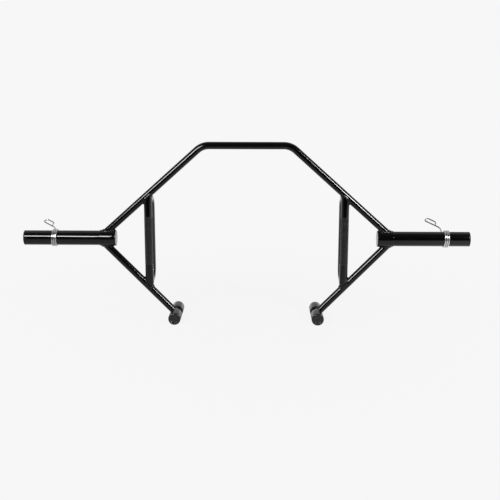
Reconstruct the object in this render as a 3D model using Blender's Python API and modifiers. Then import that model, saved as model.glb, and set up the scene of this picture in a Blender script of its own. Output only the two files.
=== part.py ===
"""Open-ended trap bar, standing on its feet: metres, +Z up, X along the plate sleeves.

The frame of the bar lies in an upright plane across X. One bent tube makes the front bow. Two rear arms
run down to short cross feet. Bow and arms meet at two hubs, which carry the plate sleeves. A low handle
stands in the frame's plane on each side, and a high handle is welded behind it. A spring collar of round
wire grips each sleeve. The origin is on the floor, under the middle of everything that is modelled.
"""

from math import acos, asin, ceil, cos, degrees, hypot, pi, radians, sin, tan

import bmesh
import bpy
from mathutils import Matrix, Vector

# Driving sizes of the frame
HUB_SPAN = 0.894            # between the inner faces of the two hubs
HUB_LENGTH = 0.055
HUB_WALL = 0.0022           # ring of the hub around the sleeve
HUB_PLATE = 0.003           # thickness of the disc that closes a hub's inner end
SLEEVE_LENGTH = 0.260       # from the hub's outer face to the end of the sleeve
SLEEVE_DIAMETER = 0.050
SLEEVE_WALL = 0.003
SLEEVE_HEIGHT = 0.287       # sleeve axis above the floor
TUBE_DIAMETER = 0.025       # bow, arms and high handles
TUBE_WALL = 0.0025
BOW_HEIGHT = 0.604          # centre line of the bow's top run above the floor
BOW_TOP = 0.298             # between the two corners where the bow's centre lines would meet
BOW_BEND = 0.060            # bend radius of the bow's centre line
BOW_WELD_INSET = 0.0295     # along the sleeve, hub's outer face to the bow's centre line on the hub
ARM_WELD_INSET = 0.0245     # the same for the rear arm
FOOT_SPAN = 0.4886          # between the two foot tubes' axes

# Driving sizes of the feet and end caps
FOOT_LENGTH = 0.162         # over both rubber caps
FOOT_TUBE_DIAMETER = 0.030
FOOT_TUBE_WALL = 0.002
CAP_WALL = 0.0057           # rubber around the tube
CAP_LENGTH = 0.064
CAP_FLOOR = 0.006           # rubber between the tube's end and the cap's face
CAP_ROUND = 0.005           # rounding of the cap's outer rim
CAP_DISH_DIAMETER = 0.024   # shallow dish in the cap's face
CAP_DISH_DEPTH = 0.0012
CAP_DIMPLE_DIAMETER = 0.005
CAP_DIMPLE_DEPTH = 0.0025
PLUG_FLANGE = 0.004         # sleeve end plug, outside the tube
PLUG_DEPTH = 0.018          # sleeve end plug, inside the tube
PLUG_WALL = 0.003
EDGE = 0.0012               # small rounding on hubs and end plugs

# Driving sizes of the handles
HANDLE_SPAN = 0.671         # between the axes of the two low handles
HIGH_HANDLE_OFFSET = 0.084  # low handle's axis to high handle's axis, front to back
HIGH_HANDLE_BEND = 0.0375
LEG_INSET = 0.018           # a leg's axis to the bow's or the arm's centre line, along the low handle
LOW_HANDLE_DIAMETER = 0.028

# Driving sizes of the spring collars
WIRE = 0.005
COIL_PITCH = 0.00605        # along the sleeve, one turn to the next
COIL_TURNS = 3              # whole turns, besides the part turn between the two levers
SQUEEZE_LEVER_ANGLE = 28    # degrees above the level line that runs backwards from the sleeve's axis
FIXED_LEVER_ANGLE = -12
LEVER_LEAN = 0.0497         # how far a grip's tip lies sideways of the squeeze lever's root
LEVER_REACH = 0.0671        # coil's wire to the far end of the lever's outgoing wire
LEVER_KNEE = 0.0288         # coil's wire to the corner where the lever turns sideways
GRIP_WIDTH = 0.0173         # between the two wires of a hairpin grip
GRIP_LENGTH = 0.0334        # of the wire that runs back
GRIP_TAIL = 0.013            # of the short hook at the end of it
TAIL_LEAN = 32              # degrees by which the hook leans back from square to the grip
GRIP_BEND = 0.0055
KNEE_BEND = 0.027           # bend radius where a lever turns sideways
ROOT_BEND = 0.007           # bend radius where the coil's wire turns outwards
ROOT_TURN = 20              # degrees of the coil's circle that belong to a lever's root
LEFT_COLLAR = 0.1054        # sleeve end to the middle of the coil, as the photo has them
RIGHT_COLLAR = 0.0805
LEFT_COLLAR_TURN = -3       # degrees that each collar is turned on its sleeve
RIGHT_COLLAR_TURN = 3

# Clearances and mesh fineness
GAP = 0.0003                # between any two pieces that touch
SIDES = 16                  # around a tube
TURNED_SIDES = 32           # around a turned piece
WIRE_RESOLUTION = 2         # bevel resolution of the wire
COIL_POINTS = 16            # to a turn
TUBE_BEND_STEP = 15         # degrees of a bend to one stretch of tube
WIRE_BEND_STEP = 30
RIM_STEPS = 3               # of a rounded rim
SHARP_ANGLE = 35            # degrees between faces that are shaded as a sharp edge
MERGE = 0.000001            # points closer than this become one

# What follows from them
SLEEVE_RADIUS = SLEEVE_DIAMETER / 2
HUB_RADIUS = SLEEVE_RADIUS + GAP + HUB_WALL
TUBE_RADIUS = TUBE_DIAMETER / 2
FOOT_TUBE_RADIUS = FOOT_TUBE_DIAMETER / 2
CAP_RADIUS = FOOT_TUBE_RADIUS + GAP + CAP_WALL
HUB_IN = HUB_SPAN / 2
HUB_OUT = HUB_IN + HUB_LENGTH
SLEEVE_END = HUB_OUT + SLEEVE_LENGTH
FOOT_X = FOOT_SPAN / 2
HANDLE_X = HANDLE_SPAN / 2
FOOT_HEIGHT = CAP_RADIUS
CUTTER_OVERSHOOT = 0.05     # how far a cutter runs past what it cuts
TRIM = 0.004                # a low handle's end to the bow's or the arm's middle, at its sides

for old in list(bpy.data.objects):
    bpy.data.objects.remove(old, do_unlink=True)

part = bpy.data.collections.new("open_trap_bar")
cutters = bpy.data.collections.new("cutters")
bpy.context.scene.collection.children.link(part)
bpy.context.scene.collection.children.link(cutters)


def material(name, colour, metallic, roughness):
    """A Principled material with one colour."""
    mat = bpy.data.materials.new(name)
    mat.use_nodes = True
    shader = mat.node_tree.nodes["Principled BSDF"]
    shader.inputs["Base Color"].default_value = (*colour, 1.0)
    shader.inputs["Metallic"].default_value = metallic
    shader.inputs["Roughness"].default_value = roughness
    return mat


BLACK_PAINT = material("gloss_black_paint", (0.012, 0.012, 0.014), 0.0, 0.18)
KNURLED = material("knurled_black_steel", (0.030, 0.030, 0.032), 0.3, 0.45)
RUBBER = material("black_rubber", (0.040, 0.040, 0.042), 0.0, 0.65)
PLASTIC = material("black_plastic", (0.020, 0.020, 0.022), 0.0, 0.40)
CHROME = material("chromed_spring_wire", (0.70, 0.70, 0.72), 1.0, 0.12)


def add_object(name, data, mat, collection=part):
    """Wraps mesh or curve data in a named object with its material."""
    thing = bpy.data.objects.new(name, data)
    if mat:
        data.materials.append(mat)
    collection.objects.link(thing)
    return thing


def smooth(mesh):
    mesh.shade_smooth()
    mesh.set_sharp_from_angle(angle=radians(SHARP_ANGLE))


def rounded_path(corners, radii, step):
    """Points along a polyline whose inner corners are arcs of the given radii, a step in degrees apart."""
    points = [corners[0]]
    for before, corner, after, radius in zip(corners, corners[1:], corners[2:], radii):
        back = (before - corner).normalized()
        ahead = (after - corner).normalized()
        opening = acos(max(-1.0, min(1.0, back.dot(ahead))))
        sweep = pi - opening
        centre = corner + (back + ahead).normalized() * (radius / sin(opening / 2))
        start = corner + back * (radius / tan(opening / 2)) - centre
        across = corner + ahead * (radius / tan(opening / 2)) - centre
        axis = start.cross(across).normalized()
        count = max(2, ceil(degrees(sweep) / step))
        points += [centre + Matrix.Rotation(sweep * i / count, 3, axis) @ start for i in range(count + 1)]
    points.append(corners[-1])
    return points


def swept_curve(name, points, radius, resolution):
    """A round rod along the points, as curve data with a bevel and filled caps."""
    curve = bpy.data.curves.new(name, "CURVE")
    curve.dimensions = "3D"
    spline = curve.splines.new("POLY")
    spline.points.add(len(points) - 1)
    for slot, point in zip(spline.points, points):
        slot.co = (*point, 1.0)
    curve.bevel_depth = radius
    curve.bevel_resolution = resolution
    curve.use_fill_caps = True
    return curve


def curve_to_mesh(name, curve, mat, open_ends=False):
    """Makes the curve a mesh object, with its caps welded on, or with its ends left open."""
    rough = add_object(name + "_curve", curve, None)
    bpy.context.view_layer.update()
    evaluated = rough.evaluated_get(bpy.context.evaluated_depsgraph_get())
    mesh = bpy.data.meshes.new_from_object(evaluated)
    mesh.name = name
    place = rough.matrix_world.copy()
    bpy.data.objects.remove(rough, do_unlink=True)
    form = bmesh.new()
    form.from_mesh(mesh)
    bmesh.ops.remove_doubles(form, verts=form.verts, dist=MERGE)
    bmesh.ops.recalc_face_normals(form, faces=form.faces)
    if open_ends:
        caps = [face for face in form.faces if len(face.verts) == 3]  # the swept sides are all quads
        bmesh.ops.delete(form, geom=caps, context="FACES")
    form.to_mesh(mesh)
    form.free()
    mesh.materials.clear()
    smooth(mesh)
    thing = add_object(name, mesh, mat)
    thing.matrix_world = place
    return thing


def rod_cutter(name, start, end, radius, sides=SIDES):
    """A round rod between two points that cuts a seat for a rod of the given radius, with the gap."""
    span = end - start
    seat = (radius + GAP) / cos(pi / sides)
    form = bmesh.new()
    bmesh.ops.create_cone(form, cap_ends=True, segments=sides, radius1=seat, radius2=seat,
                          depth=span.length)
    mesh = bpy.data.meshes.new(name)
    form.to_mesh(mesh)
    form.free()
    cutter = add_object(name, mesh, None, cutters)
    cutter.rotation_mode = "QUATERNION"
    cutter.rotation_quaternion = span.to_track_quat("Z", "Y")
    cutter.location = (start + end) / 2
    cutter.hide_render = True
    cutter.display_type = "WIRE"
    return cutter


def block_cutter(name, start, end, away):
    """A block along a line in the frame's plane. It takes off all that is less than TRIM short of the line.

    Away is 1 where the block lies above the line and -1 where it lies below.
    """
    span = end - start
    along = span.normalized()
    normal = along.cross(Vector((0, 1, 0)))
    if normal.z * away < 0:
        normal = -normal
    form = bmesh.new()
    bmesh.ops.create_cube(form, size=1.0)
    mesh = bpy.data.meshes.new(name)
    form.to_mesh(mesh)
    form.free()
    cutter = add_object(name, mesh, None, cutters)
    axes = Matrix((along, normal.cross(along), normal)).transposed()
    size = Matrix.Diagonal((span.length, CUTTER_OVERSHOOT, CUTTER_OVERSHOOT))
    middle = (start + end) / 2 + normal * (CUTTER_OVERSHOOT / 2 - TRIM)
    cutter.matrix_world = Matrix.Translation(middle) @ (axes @ size).to_4x4()
    cutter.hide_render = True
    cutter.display_type = "WIRE"
    return cutter


def cut(thing, cutter, solver="EXACT"):
    modifier = thing.modifiers.new("cut_" + cutter.name, "BOOLEAN")
    modifier.operation = "DIFFERENCE"
    modifier.solver = solver
    modifier.object = cutter


def tube(name, points, diameter, wall, mat, copes):
    """A hollow tube along the points. Each cope is a cutter that shapes one of its ends."""
    skin = swept_curve(name, points, diameter / 2, SIDES // 2 - 2)
    thing = curve_to_mesh(name, skin, mat, open_ends=True)
    shell = thing.modifiers.new("wall", "SOLIDIFY")
    shell.thickness = wall
    shell.offset = -1
    for cope in copes:
        cut(thing, cope)
    return thing


def turned(name, profile, mat, place, axis):
    """A turned piece. The profile holds (radius, distance) pairs down its outer side, along the axis."""
    mesh = bpy.data.meshes.new(name)
    points = [(radius, 0.0, -distance) for radius, distance in profile]
    edges = [(i, (i + 1) % len(points)) for i in range(len(points))]
    if profile[0][0] == 0 and profile[-1][0] == 0:
        edges.pop()
    mesh.from_pydata(points, edges, [])
    thing = add_object(name, mesh, mat)
    screw = thing.modifiers.new("turn", "SCREW")
    screw.steps = TURNED_SIDES
    screw.render_steps = TURNED_SIDES
    screw.use_merge_vertices = True
    screw.merge_threshold = MERGE
    screw.use_smooth_shade = True
    thing.rotation_mode = "QUATERNION"
    thing.rotation_quaternion = Vector(axis).to_track_quat("-Z", "Y")
    thing.location = place
    return thing


def rounded_rim(radius, edge):
    """Profile points of a quarter-round outer edge, from the face at distance 0 to the side."""
    turns = [pi / 2 * i / RIM_STEPS for i in range(RIM_STEPS + 1)]
    return [(radius - edge + edge * sin(turn), edge - edge * cos(turn)) for turn in turns]


def ring_profile(outer, inner, length, edge):
    """A ring with a small rounded edge on its first face."""
    return [(inner, 0.0), *rounded_rim(outer, edge), (outer, length), (inner, length)]


# Centre lines of the frame, in its own plane. A side is -1 on the left and 1 on the right
def bow_corner(side):
    return Vector((side * BOW_TOP / 2, 0, BOW_HEIGHT))


def bow_on_hub(side):
    return Vector((side * (HUB_OUT - BOW_WELD_INSET), 0, SLEEVE_HEIGHT + HUB_RADIUS))


def arm_on_hub(side):
    return Vector((side * (HUB_OUT - ARM_WELD_INSET), 0, SLEEVE_HEIGHT - HUB_RADIUS))


def foot_centre(side):
    return Vector((side * FOOT_X, 0, FOOT_HEIGHT))


def line_at_height(a, b, height):
    return a + (b - a) * ((height - a.z) / (b.z - a.z))


def line_at_x(a, b, x):
    return a + (b - a) * ((x - a.x) / (b.x - a.x))


def beyond(a, b, extra):
    """The point past b, on the line from a."""
    return b + (b - a).normalized() * extra


def hub_cutter(name, side):
    start = Vector((side * (HUB_IN - CUTTER_OVERSHOOT), 0, SLEEVE_HEIGHT))
    end = Vector((side * (HUB_OUT + CUTTER_OVERSHOOT), 0, SLEEVE_HEIGHT))
    return rod_cutter(name, start, end, HUB_RADIUS, TURNED_SIDES)


def build_bow():
    """The front bow: both diagonals and the top run in one bent tube, coped onto the hubs."""
    ends = [line_at_height(bow_corner(s), bow_on_hub(s), SLEEVE_HEIGHT) for s in (-1, 1)]
    corners = [ends[0], bow_corner(-1), bow_corner(1), ends[1]]
    points = rounded_path(corners, [BOW_BEND, BOW_BEND], TUBE_BEND_STEP)
    copes = [hub_cutter("bow_cope_left", -1), hub_cutter("bow_cope_right", 1)]
    tube("front_bow", points, TUBE_DIAMETER, TUBE_WALL, BLACK_PAINT, copes)


def build_arm(side, label):
    """A rear arm, coped onto the hub above and the foot tube below.

    The exact solver turns the lower cope inside out at some sizes, so that one has the other solver.
    """
    top = line_at_height(foot_centre(side), arm_on_hub(side), SLEEVE_HEIGHT)
    bottom = foot_centre(side)
    reach = Vector((0, FOOT_LENGTH / 2, 0))
    foot_cope = rod_cutter(label + "_arm_foot_cope", bottom - reach, bottom + reach, FOOT_TUBE_RADIUS)
    hub_cope = hub_cutter(label + "_arm_hub_cope", side)
    arm = tube(label + "_rear_arm", [top, bottom], TUBE_DIAMETER, TUBE_WALL, BLACK_PAINT, [hub_cope])
    cut(arm, foot_cope, "MANIFOLD")


def build_hub(side, label):
    """Hub ring, the disc that closes it, the sleeve inside it and the plug in the sleeve's outer end."""
    outwards = (side, 0, 0)
    inwards = (-side, 0, 0)
    seat = HUB_IN + HUB_PLATE + GAP
    hub = ring_profile(HUB_RADIUS, SLEEVE_RADIUS + GAP, HUB_OUT - seat, EDGE)
    turned(label + "_hub", hub, BLACK_PAINT, (side * HUB_OUT, 0, SLEEVE_HEIGHT), inwards)
    plate = [(0, 0), *rounded_rim(HUB_RADIUS, EDGE), (HUB_RADIUS, HUB_PLATE), (0, HUB_PLATE)]
    turned(label + "_hub_plate", plate, BLACK_PAINT, (side * HUB_IN, 0, SLEEVE_HEIGHT), outwards)
    tube_end = SLEEVE_END - PLUG_FLANGE - GAP
    bore = SLEEVE_RADIUS - SLEEVE_WALL
    sleeve = [(SLEEVE_RADIUS, 0), (SLEEVE_RADIUS, tube_end - seat), (bore, tube_end - seat), (bore, 0)]
    turned(label + "_sleeve", sleeve, BLACK_PAINT, (side * tube_end, 0, SLEEVE_HEIGHT), inwards)
    stub = bore - GAP
    plug = [(0, 0), *rounded_rim(SLEEVE_RADIUS, EDGE), (SLEEVE_RADIUS, PLUG_FLANGE),
            (stub, PLUG_FLANGE), (stub, PLUG_FLANGE + PLUG_DEPTH),
            (stub - PLUG_WALL, PLUG_FLANGE + PLUG_DEPTH), (stub - PLUG_WALL, PLUG_FLANGE), (0, PLUG_FLANGE)]
    turned(label + "_sleeve_cap", plug, PLASTIC, (side * SLEEVE_END, 0, SLEEVE_HEIGHT), inwards)


def build_foot(side, label):
    """A cross tube with a thick rubber cap on each end."""
    centre = foot_centre(side)
    half = FOOT_LENGTH / 2 - CAP_FLOOR - GAP
    front = centre - Vector((0, half, 0))
    back = centre + Vector((0, half, 0))
    tube(label + "_foot_tube", [front, back], FOOT_TUBE_DIAMETER, FOOT_TUBE_WALL, BLACK_PAINT, [])
    bore = (FOOT_TUBE_RADIUS + GAP) / cos(pi / TURNED_SIDES)
    dimple = CAP_DIMPLE_DIAMETER / 2
    dish = CAP_DISH_DIAMETER / 2
    profile = [(0, CAP_DIMPLE_DEPTH), (dimple, CAP_DISH_DEPTH), (dish, CAP_DISH_DEPTH),
               (dish + CAP_DISH_DEPTH, 0), *rounded_rim(CAP_RADIUS, CAP_ROUND),
               (CAP_RADIUS, CAP_LENGTH), (bore, CAP_LENGTH), (bore, CAP_FLOOR), (0, CAP_FLOOR)]
    for place, direction in (("front", 1), ("back", -1)):
        face = centre - Vector((0, direction * FOOT_LENGTH / 2, 0))
        turned(label + "_" + place + "_foot_cap", profile, RUBBER, face, (0, direction, 0))


def handle_ends(side):
    """Where the low handle's axis crosses the bow's and the arm's centre lines."""
    top = line_at_x(bow_corner(side), bow_on_hub(side), side * HANDLE_X)
    bottom = line_at_x(foot_centre(side), arm_on_hub(side), side * HANDLE_X)
    return top, bottom


def build_low_handle(side, label):
    """The straight handle in the frame's plane, coped onto the bow above and the arm below.

    It is thicker than they are, so a block trims it too: nothing of it stands up beside them.
    """
    top, bottom = handle_ends(side)
    copes = []
    for place, inner, outer, away in (("bow", bow_on_hub(side), bow_corner(side), 1),
                                      ("arm", arm_on_hub(side), foot_centre(side), -1)):
        end = top if away == 1 else bottom
        start, stop = beyond(inner, end, CUTTER_OVERSHOOT), beyond(outer, end, CUTTER_OVERSHOOT)
        copes.append(rod_cutter(label + "_handle_" + place + "_cope", start, stop, TUBE_RADIUS))
        copes.append(block_cutter(label + "_handle_" + place + "_trim", start, stop, away))
    tube(label + "_low_handle", [top, bottom], LOW_HANDLE_DIAMETER, TUBE_WALL, KNURLED, copes)


def build_high_handle(side, label):
    """The U-bent handle behind the low one.

    Its two legs are coped onto the low handle's back, and onto the edge of the bow and of the arm.
    """
    top, bottom = handle_ends(side)
    x, upper, lower = side * HANDLE_X, top.z - LEG_INSET, bottom.z + LEG_INSET
    corners = [Vector((x, 0, upper)), Vector((x, HIGH_HANDLE_OFFSET, upper)),
               Vector((x, HIGH_HANDLE_OFFSET, lower)), Vector((x, 0, lower))]
    points = rounded_path(corners, [HIGH_HANDLE_BEND, HIGH_HANDLE_BEND], TUBE_BEND_STEP)
    bow_cope = rod_cutter(label + "_leg_bow_cope", beyond(bow_on_hub(side), top, CUTTER_OVERSHOOT),
                          beyond(bow_corner(side), top, CUTTER_OVERSHOOT), TUBE_RADIUS)
    arm_cope = rod_cutter(label + "_leg_arm_cope", beyond(arm_on_hub(side), bottom, CUTTER_OVERSHOOT),
                          beyond(foot_centre(side), bottom, CUTTER_OVERSHOOT), TUBE_RADIUS)
    low_cope = rod_cutter(label + "_leg_handle_cope", bottom, top, LOW_HANDLE_DIAMETER / 2)
    tube(label + "_high_handle", points, TUBE_DIAMETER, TUBE_WALL, BLACK_PAINT, [bow_cope, arm_cope, low_cope])


# Spring collar, in its own frame: X along the sleeve, angles from +Y (backwards) towards +Z (up)
COIL_RADIUS = (SLEEVE_RADIUS + GAP + WIRE / 2) / cos(pi / COIL_POINTS)
COIL_SWEEP = 360 * COIL_TURNS + SQUEEZE_LEVER_ANGLE - FIXED_LEVER_ANGLE
SQUEEZE_ROOT_X = -COIL_PITCH * COIL_SWEEP / 720
FIXED_ROOT_X = -SQUEEZE_ROOT_X


def around(x, radius, angle):
    """A point at an angle in degrees around the sleeve's axis."""
    return Vector((x, radius * cos(radians(angle)), radius * sin(radians(angle))))


def coil_x(angle):
    """Where the wire is along the sleeve, once it has wound to this angle from the fixed lever."""
    return FIXED_ROOT_X - COIL_PITCH * (angle - FIXED_LEVER_ANGLE) / 360


def lever_points(root_x, angle, start_angle, start_x):
    """The wire of a lever: off the coil's circle, outwards, sideways, and back in a hairpin grip."""
    tip_x = SQUEEZE_ROOT_X - LEVER_LEAN
    knee = (root_x, COIL_RADIUS + LEVER_KNEE)
    tip = (tip_x, COIL_RADIUS + LEVER_REACH)
    length = hypot(tip[0] - knee[0], tip[1] - knee[1])
    along = ((tip[0] - knee[0]) / length, (tip[1] - knee[1]) / length)
    aside = (along[1], -along[0])
    turn_back = (tip[0] + aside[0] * GRIP_WIDTH, tip[1] + aside[1] * GRIP_WIDTH)
    heel = (turn_back[0] - along[0] * GRIP_LENGTH, turn_back[1] - along[1] * GRIP_LENGTH)
    back, across = sin(radians(TAIL_LEAN)) * GRIP_TAIL, cos(radians(TAIL_LEAN)) * GRIP_TAIL
    tail = (heel[0] - along[0] * back - aside[0] * across, heel[1] - along[1] * back - aside[1] * across)
    corner = (root_x, COIL_RADIUS / cos(radians(angle - start_angle)))
    flat = [corner, knee, tip, turn_back, heel, tail]
    corners = [around(start_x, COIL_RADIUS, start_angle)] + [around(x, r, angle) for x, r in flat]
    bends = [ROOT_BEND, KNEE_BEND, GRIP_BEND, GRIP_BEND, GRIP_BEND]
    return rounded_path(corners, bends, WIRE_BEND_STEP)


def build_collar(label, place, turn):
    """One spring collar: the coil, the lever that stays with it and the lever that is squeezed."""
    holder = bpy.data.objects.new(label + "_collar_axis", None)
    part.objects.link(holder)
    holder.location = place
    holder.rotation_euler = (radians(turn), 0, 0)
    first = FIXED_LEVER_ANGLE + ROOT_TURN
    last = FIXED_LEVER_ANGLE + COIL_SWEEP - ROOT_TURN
    end_tilt = WIRE / 2 * tan(pi / COIL_POINTS)
    trim = degrees(asin((GAP + end_tilt) / COIL_RADIUS))
    count = round((last - first) / 360 * COIL_POINTS)
    angles = [first + trim + (last - first - 2 * trim) * i / count for i in range(count + 1)]
    coil = [around(coil_x(a), COIL_RADIUS, a) for a in angles]
    fixed = lever_points(FIXED_ROOT_X, FIXED_LEVER_ANGLE, first, coil_x(first))
    squeezed = lever_points(SQUEEZE_ROOT_X, SQUEEZE_LEVER_ANGLE, SQUEEZE_LEVER_ANGLE - ROOT_TURN,
                            coil_x(last))
    pieces = {"_collar_coil": coil, "_collar_fixed_lever": fixed, "_collar_squeeze_lever": squeezed}
    for ending, points in pieces.items():
        name = label + ending
        thing = curve_to_mesh(name, swept_curve(name, points, WIRE / 2, WIRE_RESOLUTION), CHROME)
        thing.parent = holder


def centre_on_origin(root):
    """Moves everything so that the origin is under the middle of the whole bar, front to back."""
    bpy.context.view_layer.update()
    graph = bpy.context.evaluated_depsgraph_get()
    depths = []
    for thing in part.objects:
        if thing.type == "MESH":
            evaluated = thing.evaluated_get(graph)
            depths += [(evaluated.matrix_world @ v.co).y for v in evaluated.data.vertices]
    root.location.y = -(min(depths) + max(depths)) / 2


build_bow()
for side, label in ((-1, "left"), (1, "right")):
    build_arm(side, label)
    build_hub(side, label)
    build_foot(side, label)
    build_low_handle(side, label)
    build_high_handle(side, label)
build_collar("left", Vector((LEFT_COLLAR - SLEEVE_END, 0, SLEEVE_HEIGHT)), LEFT_COLLAR_TURN)
build_collar("right", Vector((SLEEVE_END - RIGHT_COLLAR, 0, SLEEVE_HEIGHT)), RIGHT_COLLAR_TURN)

root = bpy.data.objects.new("bar_root", None)
part.objects.link(root)
for thing in list(part.objects) + list(cutters.objects):
    if thing is not root and thing.parent is None:
        thing.parent = root
centre_on_origin(root)
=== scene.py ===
# %% [markdown]
# # An open-ended trap bar
# A trap bar is a weight lifter's frame. The lifter stands inside it, holds the two handles, and round
# plates slide onto the sleeves at its ends. This one is open at the back and stands on two short feet.
# Its CAD model is already packed, with every size and every joint. This lesson dresses it: it lays a
# fine surface over each piece, gives each surface the finish of the real thing, and lights it.
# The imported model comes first, and stays fixed. Its box is kept, to be compared at the end.

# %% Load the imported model
import math

import bmesh
import bpy
import numpy as np
from mathutils import Matrix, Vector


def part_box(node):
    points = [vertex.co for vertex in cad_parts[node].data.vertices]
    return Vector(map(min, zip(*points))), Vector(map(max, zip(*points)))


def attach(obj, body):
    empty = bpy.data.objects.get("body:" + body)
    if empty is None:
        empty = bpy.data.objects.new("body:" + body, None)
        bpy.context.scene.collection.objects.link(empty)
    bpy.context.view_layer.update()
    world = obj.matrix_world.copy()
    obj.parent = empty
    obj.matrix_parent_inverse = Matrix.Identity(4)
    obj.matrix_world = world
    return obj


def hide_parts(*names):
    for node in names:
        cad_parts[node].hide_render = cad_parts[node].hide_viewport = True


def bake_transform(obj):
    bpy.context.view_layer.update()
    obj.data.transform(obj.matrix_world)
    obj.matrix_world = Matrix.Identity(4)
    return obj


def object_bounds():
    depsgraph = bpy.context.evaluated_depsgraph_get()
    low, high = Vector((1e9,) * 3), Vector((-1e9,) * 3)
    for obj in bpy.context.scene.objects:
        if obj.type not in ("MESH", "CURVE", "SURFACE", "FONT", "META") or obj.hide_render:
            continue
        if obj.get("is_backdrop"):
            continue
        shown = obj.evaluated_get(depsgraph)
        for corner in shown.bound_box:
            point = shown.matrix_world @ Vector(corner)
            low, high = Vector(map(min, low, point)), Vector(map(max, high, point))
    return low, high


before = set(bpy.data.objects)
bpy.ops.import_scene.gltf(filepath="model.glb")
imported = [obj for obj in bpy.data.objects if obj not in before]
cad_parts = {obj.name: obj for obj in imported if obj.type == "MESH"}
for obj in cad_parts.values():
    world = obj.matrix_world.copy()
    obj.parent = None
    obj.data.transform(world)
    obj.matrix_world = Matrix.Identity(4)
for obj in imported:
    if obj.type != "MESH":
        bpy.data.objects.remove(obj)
cad_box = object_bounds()

print("nodes", len(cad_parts), "box", [round(v, 4) for corner in cad_box for v in corner])

# %% [markdown]
# ## The camera
# The photograph was taken with a long lens, about three metres in front of the bar and a little above it,
# so that the bar is seen almost square on. Its place was worked out from pairs of points that are known on
# the CAD model and in the picture. A camera in Blender looks along its own -Z, with +Y up, so its turn is
# a matrix of three directions: right, up and backwards.

# %% Place the camera
CAMERA_PLACE = (0.04552, -2.93853, 0.86724)
YAW, PITCH, ROLL = math.radians(0.649), math.radians(11.992), math.radians(0.096)
SENSOR, LENS = 36, 62.584               # the sensor's width and the focal length, in millimetres


def unit(vectors):
    """Each vector divided by its own length."""
    vectors = np.asarray(vectors, float)
    return vectors / np.linalg.norm(vectors, axis=-1, keepdims=True)


forward = np.array([-math.sin(YAW) * math.cos(PITCH), math.cos(YAW) * math.cos(PITCH), -math.sin(PITCH)])
level_right = unit(np.cross(forward, [0, 0, 1]))
level_up = np.cross(level_right, forward)
right = math.cos(ROLL) * level_right + math.sin(ROLL) * level_up
up = -math.sin(ROLL) * level_right + math.cos(ROLL) * level_up

camera = bpy.data.objects.new("camera", bpy.data.cameras.new("camera"))
camera.data.sensor_width = SENSOR
camera.data.lens = LENS
camera.matrix_world = Matrix.Translation(CAMERA_PLACE) @ Matrix(np.array([right, up, -forward]).T).to_4x4()
bpy.context.scene.collection.objects.link(camera)
bpy.context.scene.camera = camera
bpy.context.scene.view_settings.view_transform = "Standard"
print("camera", camera.location)

# %% [markdown]
# ## Colours and nodes
# A colour is written as on a paint card, in hex. Blender's shaders count light itself, which is not how
# screens number it, so one function turns a hex colour into linear light.
# A material is a small graph of nodes. One function adds any node with its settings and its links.

# %% Helpers for colours and nodes
def linear(hex_colour):
    """A hex colour as linear light: c / 12.92 when dark, else ((c + 0.055) / 1.055) to the power 2.4."""
    c = np.array([int(hex_colour[i:i + 2], 16) / 255 for i in (1, 3, 5)])
    return (*np.where(c <= 0.04045, c / 12.92, ((c + 0.055) / 1.055) ** 2.4), 1.0)


def add(tree, kind, inputs=None, stops=(), **settings):
    """Adds a node. Each input, by its name or number, gets a value or another node's output.

    The stops of a colour ramp are pairs of a place from 0 to 1 and a hex colour.
    """
    made = tree.nodes.new(kind)
    for key, value in settings.items():
        setattr(made, key, value)
    for key, value in (inputs or {}).items():
        if isinstance(value, bpy.types.NodeSocket):
            tree.links.new(value, made.inputs[key])
        else:
            made.inputs[key].default_value = value
    if stops:
        elements = made.color_ramp.elements
        while len(elements) < len(stops):
            elements.new(1.0)
        for element, (place, colour) in zip(elements, stops):
            element.position = place
            element.color = linear(colour)
    return made


PAPER = "#F7F7F7"
print("white paper is", [round(v, 3) for v in linear(PAPER)])

# %% [markdown]
# ## A mesh from a grid of points
# Every surface here is worked out as a grid of points: its rows run along the piece, and its columns go
# round it. One function makes the mesh. It joins neighbouring points to faces, merges doubles, turns the
# faces outwards, and shades the surface smooth but for the edges that are meant to be sharp.

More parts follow.
